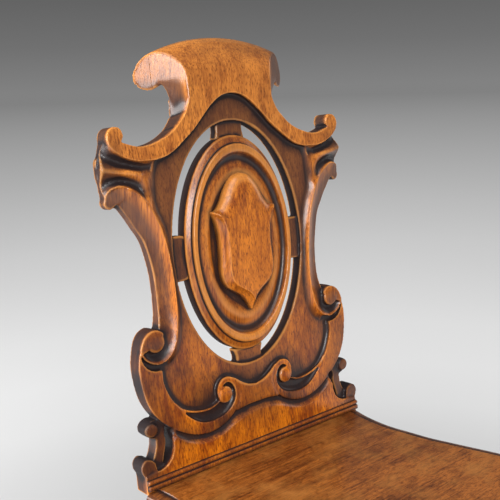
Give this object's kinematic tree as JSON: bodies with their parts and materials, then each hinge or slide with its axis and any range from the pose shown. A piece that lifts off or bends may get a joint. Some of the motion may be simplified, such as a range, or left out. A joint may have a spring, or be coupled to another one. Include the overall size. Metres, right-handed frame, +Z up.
{
  "type": "hall chair",
  "caption": "Wooden hall chair with a pierced and carved shield back, rolled crest, moulded board seat, turned front legs and swept rear legs.",
  "frame": {"origin": "on the floor, under the middle of the chair's bounding box", "axes": "+Z up, -Y towards the sitter's front (the chair faces -Y), +X to the right as seen from the front"},
  "size_m": [0.4362, 0.4642, 0.9],
  "materials": {
    "carved_oak": "waxed golden brown oak, dark wax in the carved grooves",
    "seat_oak": "worn and waxed brown oak",
    "frame_oak": "waxed reddish brown oak",
    "inner_wood": "bare unpolished wood, dusty",
    "screw_steel": "old dull steel"
  },
  "bodies": {
    "root": {"back_panel": "carved_oak", "crest_back_block": "carved_oak", "foot_bead": "carved_oak", "shield_boss": "carved_oak", "seat_board": "seat_oak", "front_rail": "frame_oak", "rear_rail": "inner_wood", "side_rail_left": "frame_oak", "side_rail_right": "frame_oak", "front_leg_left": "frame_oak", "front_leg_right": "frame_oak", "rear_leg_left": "frame_oak", "rear_leg_right": "frame_oak", "corner_block_front_left": "inner_wood", "corner_block_front_right": "inner_wood", "corner_block_rear_left": "inner_wood", "corner_block_rear_right": "inner_wood", "glue_block_front": "inner_wood", "glue_block_side_left": "inner_wood", "glue_block_side_right": "inner_wood", "back_screw_1": "screw_steel", "back_screw_2": "screw_steel", "back_screw_3": "screw_steel", "back_screw_4": "screw_steel", "seat_screw_1": "screw_steel", "seat_screw_2": "screw_steel", "seat_screw_3": "screw_steel", "seat_screw_4": "screw_steel", "corner_screw_1": "screw_steel", "corner_screw_2": "screw_steel", "corner_screw_3": "screw_steel", "corner_screw_4": "screw_steel"}
  },
  "joints": []
}
